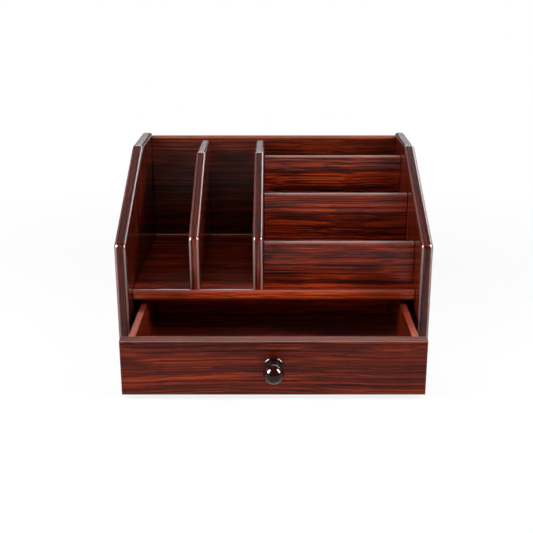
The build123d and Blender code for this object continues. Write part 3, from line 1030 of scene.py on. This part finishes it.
@dataclass
class Cabinet:
    """The fixed body: shaped sides, a back, a shelf, dividers, letter panels, a base and the drawer's guides.

    Attributes:
        board_dowel_mm: The diameter of the dowels in the thick boards.
        letter_dowel_mm: The diameter of the letter panels' dowels.
        screw: The wood screws.
    """

    board_dowel_mm: float = 6.0
    letter_dowel_mm: float = 5.0
    screw: Screw = Screw()

    def boards(self) -> tuple[Boards, ...]:
        """Choose the boards' finishes.

        Returns:
            The groups of boards.
        """
        back = ((0.0, "#180503"), (0.3, "#380e07"), (0.55, "#4c1608"), (0.8, "#62200c"), (1.0, "#7c2e12"))
        shelf = ((0.0, "#240704"), (0.3, "#531408"), (0.55, "#74200c"), (0.8, "#963212"), (1.0, "#b24618"))
        # The shelf's front edge: orange edge grain, drawn brighter than the top as painted light
        nose = ((0.0, "#541408"), (0.3, "#94280c"), (0.55, "#b84216"), (0.8, "#d05a24"), (1.0, "#de7432"))
        upright = ((0.0, "#120302"), (0.3, "#340a05"), (0.55, "#4e1306"), (0.8, "#6c210a"), (1.0, "#8c3410"))
        edge = ((0.0, "#140403"), (0.35, "#360b06"), (0.65, "#54160a"), (1.0, "#7c2812"))
        front = ((0.0, "#1e0604"), (0.35, "#4e120a"), (0.65, "#74220f"), (1.0, "#a03c1a"))
        sawn = ((0.0, "#2a0d08"), (0.4, "#3a140c"), (0.7, "#481a10"), (1.0, "#582414"))
        # Letter panels: bold streaks, dull tops painted pale as a highlight, and painted shade at the ends by
        # the joints
        letter_wood = Rosewood(
            "rosewood_figured", contrast=0.1, joint_shade_depth=0.9, top_roughness=0.7, ior=1.3,
            highlight_tone="#744d45", highlight_ways="ZX", highlight_span=(0.35, 0.65, 1.5, 1.6),
        )
        # Back: brown and quiet, with a painted highlight on the upper edge and a painted highlight line along
        # the shelf
        back_wood = Rosewood(
            "rosewood_back", stops=back, seam_mm=74.9, top_shade_depth=0.0, top_roughness=0.85, ior=1.21,
            highlight_tone="#884834", highlight_ways="ZX", highlight_span=(0.2, 0.45, 0.93, 0.995),
        )
        # Shelf: red and glossy, with an orange front edge drawn brighter as painted light, a painted
        # highlight along the nose's top, and painted shade at the ends
        shelf_wood = Rosewood(
            "rosewood_shelf", stops=shelf, edge_stops=nose, broad="Z", top_roughness=0.155, top_shade_depth=0.0,
            ior=1.33, highlight_tone="#8e4a3c", highlight_ways="ZX", highlight_span=(0.5, 0.75, 0.9, 0.99), joint_shade_depth=0.8,
        )
        # Sides and dividers: dark faces, and a painted highlight on the rounded edges that grows towards the
        # top
        side_wood = Rosewood(
            "rosewood_upright", Grain.ALONG_Z, stops=upright, edge_stops=edge, roughness=(0.14, 0.22),
            ior=1.34, highlight_tone="#94807d", highlight_span=(0.22, 0.46, 0.62, 0.86), highlight_fade_mm=(55.0, 126.0),
            highlight_slope=0.28,
        )
        # The dividers' front edges are redder than the sides'
        divider_wood = replace(side_wood, name="rosewood_divider", front_stops=front)
        # Base and guides: plain dark stain with hardly any gloss
        base_wood = Rosewood("stained_board", stops=sawn, roughness=(0.5, 0.7), top_roughness=0.6, ior=1.4)
        strip_wood = replace(base_wood, name="stained_strip", grain=Grain.ALONG_Y)
        return (
            Boards(letter_wood, ("letter_panel_front", "letter_panel_middle", "letter_panel_rear")),
            Boards(back_wood, ("back_panel",)),
            Boards(shelf_wood, ("shelf",)),
            Boards(side_wood, ("side_panel_left", "side_panel_right")),
            Boards(divider_wood, ("divider_left", "divider_right")),
            Boards(base_wood, ("base_board",)),
            Boards(strip_wood, ("drawer_guide_left", "drawer_guide_right")),
        )

    def build(self, beech: bpy.types.Material, zinc: bpy.types.Material) -> None:
        """Dress the boards and make the dowels and the wood screws.

        Args:
            beech: The dowels' finish.
            zinc: The screws' finish.
        """
        for group in self.boards():
            group.dress()
        for node, width in (
            ("shelf_dowels", self.board_dowel_mm),
            ("back_panel_dowels", self.board_dowel_mm),
            ("divider_dowels", self.board_dowel_mm),
            ("letter_panel_dowels", self.letter_dowel_mm),
        ):
            Dowel(width_mm=width).build(f"fluted_{node}", node, CABINET, "beech_dowel", beech)
        for node in ("base_screws", "guide_screws"):
            self.screw.build(f"cross_{node}", node, CABINET, "zinc_screw", zinc)


@dataclass
class Drawer:
    """The drawer: a front, two sides, a back, a bottom in grooves, and the knob on its screw.

    Attributes:
        dowel: Its dowels.
        knob_screw: The knob's screw.
    """

    dowel: Dowel = Dowel(width_mm=4.0)
    knob_screw: Screw = Screw(
        crown_mm=5.4, head_mm=8.0, shoulder_mm=1.2, rim_mm=2.59, seat_mm=2.6, shank_mm=4.0, point_mm=0.4,
        tip_mm=3.0, pitch_mm=0.7, recess_mm=4.4, recess_depth_mm=1.6,
    )

    def boards(self) -> tuple[Boards, ...]:
        """Choose the boards' finishes.

        Returns:
            The groups of boards.
        """
        calm = ((0.0, "#200604"), (0.3, "#461208"), (0.55, "#5e1a09"), (0.8, "#80290d"), (1.0, "#a23c14"))
        orange = ((0.0, "#4a1208"), (0.4, "#84280c"), (0.7, "#a63e14"), (1.0, "#c85c28"))
        shaded = ((0.0, "#2c0a05"), (0.4, "#58180a"), (0.7, "#76240c"), (1.0, "#903212"))
        inner = ((0.0, "#500e06"), (0.3, "#861e09"), (0.55, "#a6300e"), (0.8, "#bc4414"), (1.0, "#ce5820"))
        # Front: long calm streaks, two brighter bands, a painted highlight on the upper edge and painted
        # shade on top
        front_wood = Rosewood(
            "rosewood_drawer_front", stops=calm, contrast=0.105, band_mm=(600.0, 9.0), streak_mm=(560.0, 1.5),
            fibre_mm=(180.0, 0.8), sway_mm=(150.0, 9.0), top_roughness=0.6, top_shade_depth=0.45,
            accents_mm=((48.0, 4.5), (17.0, 2.4)), ior=1.22,
            highlight_tone="#96604f", highlight_ways="ZX", highlight_span=(0.3, 0.6, 0.85, 0.97),
        )
        # Sides: speckled with dark pores, orange along the top
        side_wood = Rosewood(
            "drawer_wood_along", Grain.ALONG_Y, stops=shaded, edge_stops=orange, contrast=0.18,
            pore_mm=(2.6, 1.2), pore_depth=0.75, pore_level=0.53, top_shade_depth=0.0,
        )
        # Back and bottom: bright red-orange, painted light that stands in for light reaching into the drawer
        inner_wood = Rosewood("drawer_wood_across", stops=inner, top_shade_depth=0.0)
        return (
            Boards(front_wood, ("drawer_front",)),
            Boards(side_wood, ("drawer_side_left", "drawer_side_right")),
            Boards(inner_wood, ("drawer_back", "drawer_bottom")),
        )

    def build(self, beech: bpy.types.Material, zinc: bpy.types.Material, lacquer: bpy.types.Material) -> None:
        """Dress the boards and make the dowels, the knob and its screw.

        Args:
            beech: The dowels' finish.
            zinc: The screw's finish.
            lacquer: The knob's finish.
        """
        for group in self.boards():
            group.dress()
        self.dowel.build("fluted_drawer_dowels", "drawer_dowels", DRAWER, "beech_dowel", beech)
        Knob().build(lacquer)
        self.knob_screw.build("cross_knob_screw", "knob_screw", DRAWER, "zinc_screw", zinc)


@dataclass
class Softbox:
    """A rectangular studio lamp that faces the object.

    Attributes:
        name: Its name.
        azimuth_deg, elevation_deg: Where it stands, to the right of the camera's side and upward.
        distance: How far it is from the object.
        width, tall: Its width and height.
        level: The brightness of its face, where 1 is white.
        use: What it does.
    """

    name: str
    azimuth_deg: float
    elevation_deg: float
    distance: float
    width: float
    tall: float
    level: float
    use: Use

    def build(self, target: Vector) -> None:
        """Make the lamp.

        Args:
            target: The point that it faces.
        """
        azimuth, elevation = math.radians(self.azimuth_deg), math.radians(self.elevation_deg)
        out = math.cos(elevation)
        away = Vector((math.sin(azimuth) * out, -math.cos(azimuth) * out, math.sin(elevation)))
        lamp = bpy.data.lights.new(self.name, "AREA")
        lamp.shape = "RECTANGLE"
        lamp.size = self.width
        lamp.size_y = self.tall
        lamp.energy = self.level * math.pi * self.width * self.tall
        holder = placed(self.name, lamp)
        holder.location = target + away * self.distance
        holder.rotation_euler = away.to_track_quat("Z", "Y").to_euler()
        holder.visible_camera = False
        holder.visible_diffuse, holder.visible_glossy = self.use.value


@dataclass
class Studio:
    """A white floor, softboxes round the object, and the camera.

    Attributes:
        target: The point that the lamps face.
        floor_size: The side of the floor.
        paper_tone: The tone of the floor's paper.
        shadow_share: The share of the floor's white that shows light and shadow near the object.
        shadow_reach: Where that share begins and ends to fade, from the object's middle.
        softboxes: The lamps.
        ambient: The brightness of the room all round.
        eye: The camera's place.
        pitch_deg: How far the camera looks down.
        focal_px: The camera's focal length in pixels of the picture.
        centre_px: Where the object's middle plane lies, right of the picture's centre, in pixels.
        picture_px: The picture's side.
        sensor_mm: The camera's sensor.
    """

    target: Vector = field(default_factory=lambda: Vector((0.0, -0.04, 0.09)))
    floor_size: float = 60.0
    paper_tone: str = "#f4f4f4"
    shadow_share: float = 0.14
    shadow_reach: tuple[float, float] = (0.25, 0.7)
    softboxes: tuple[Softbox, ...] = (
        Softbox("softbox_left", -74.0, 30.0, 0.95, 0.24, 0.36, 34.0, Use.FILL),
        Softbox("softbox_right", 68.0, 30.0, 0.95, 0.24, 0.36, 32.0, Use.FILL),
        Softbox("softbox_top", 0.0, 70.0, 1.2, 0.8, 0.8, 0.9, Use.FILL),
        Softbox("backdrop_low", 145.0, 6.0, 1.4, 1.4, 0.3, 2.6, Use.GLOSS),
        Softbox("backdrop_high", 160.0, 41.0, 1.4, 2.0, 0.5, 11.5, Use.GLOSS),
        Softbox("sheen", 215.0, 70.0, 1.2, 0.7, 0.7, 0.45, Use.GLOSS),
        Softbox("glint_left", -60.0, 30.0, 0.95, 0.4, 0.6, 100.0, Use.GLOSS),
        Softbox("glint_right", 66.0, 32.0, 0.95, 0.3, 0.6, 100.0, Use.GLOSS),
    )
    ambient: float = 0.1
    eye: Vector = field(default_factory=lambda: Vector((0.0, -0.965, 0.3902)))
    pitch_deg: float = 18.453
    focal_px: float = 917.5
    centre_px: float = 7.1
    picture_px: float = 533.0
    sensor_mm: float = 36.0

    def floor_material(self) -> bpy.types.Material:
        """Build the floor's white paper, which keeps a soft shadow near the object.

        Returns:
            The material.
        """
        material, tree = new_tree("seamless_paper")
        rays = add(tree, "ShaderNodeLightPath").node.outputs
        seen = 0.0
        for kind in ("Is Camera Ray", "Is Glossy Ray", "Is Transmission Ray"):
            seen = add(tree, "ShaderNodeMath", (seen, rays[kind]), operation="MAXIMUM")
        place = add(tree, "ShaderNodeTexCoord", out="Object")
        away = add(tree, "ShaderNodeVectorMath", (place,), out="Value", operation="LENGTH")
        even = add(tree, "ShaderNodeMapRange", (away, *self.shadow_reach, 1.0 - self.shadow_share, 1.0))
        paper = add(tree, "ShaderNodeBsdfDiffuse", {"Color": linear(self.paper_tone)})
        glow = add(tree, "ShaderNodeEmission", {"Color": linear(WHITE), "Strength": 1.0})
        share = add(tree, "ShaderNodeMath", (seen, even), operation="MULTIPLY")
        both = add(tree, "ShaderNodeMixShader", (share, paper, glow))
        add(tree, "ShaderNodeOutputMaterial", (both,))
        return material

    def build_floor(self) -> None:
        """Lay the floor under the object."""
        mesh = bpy.data.meshes.new("floor")
        half = self.floor_size / 2
        corners = [(-half, -half, 0), (half, -half, 0), (half, half, 0), (-half, half, 0)]
        mesh.from_pydata(corners, [], [(0, 1, 2, 3)])
        mesh.materials.append(self.floor_material())
        floor = placed("floor", mesh)

    def build_world(self) -> None:
        """Surround the scene with a dim, even room."""
        world = bpy.data.worlds.new("dim_room")
        world.use_nodes = True
        tree = world.node_tree
        tree.nodes.clear()
        glow = add(tree, "ShaderNodeBackground", {"Color": linear(WHITE), "Strength": self.ambient})
        add(tree, "ShaderNodeOutputWorld", (glow,))
        bpy.context.scene.world = world

    def build_camera(self) -> None:
        """Set the camera at the photograph's viewpoint."""
        lens = bpy.data.cameras.new("camera")
        lens.sensor_width = self.sensor_mm
        lens.lens = self.focal_px / self.picture_px * self.sensor_mm
        lens.shift_x = -self.centre_px / self.picture_px
        camera = placed("camera", lens)
        camera.location = self.eye
        camera.rotation_euler = (math.radians(90 - self.pitch_deg), 0.0, 0.0)
        bpy.context.scene.camera = camera

    def build(self) -> None:
        """Build the floor, the world, the lamps and the camera."""
        self.build_floor()
        self.build_world()
        for softbox in self.softboxes:
            softbox.build(self.target)
        self.build_camera()
        bpy.context.scene.view_settings.view_transform = "Standard"


def main() -> None:
    """Build and dress the object, then the studio round it."""
    logging.basicConfig(level=logging.INFO, format="%(name)s: %(message)s")
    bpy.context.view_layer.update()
    # Beech: pale and matt, with fine flecks
    beech = PlainFinish("beech", "#b98a5a", "#d2a874", 1.5, (0.6, 0.75), dent_mm=0.05).material()
    # Zinc plate: cloudy grey metal
    zinc = PlainFinish("zinc_plated_steel", "#9a9a98", "#b4b4b2", 1.0, (0.25, 0.4), metallic=1.0).material()
    # Lacquer: near black red-brown with a deep gloss
    lacquer = PlainFinish("knob_lacquer", "#1e0706", "#2c0c08", 6.0, (0.06, 0.11), ior=1.3).material()
    Cabinet().build(beech, zinc)
    Drawer().build(beech, zinc, lacquer)
    Studio().build()


if __name__ == "__main__":
    main()
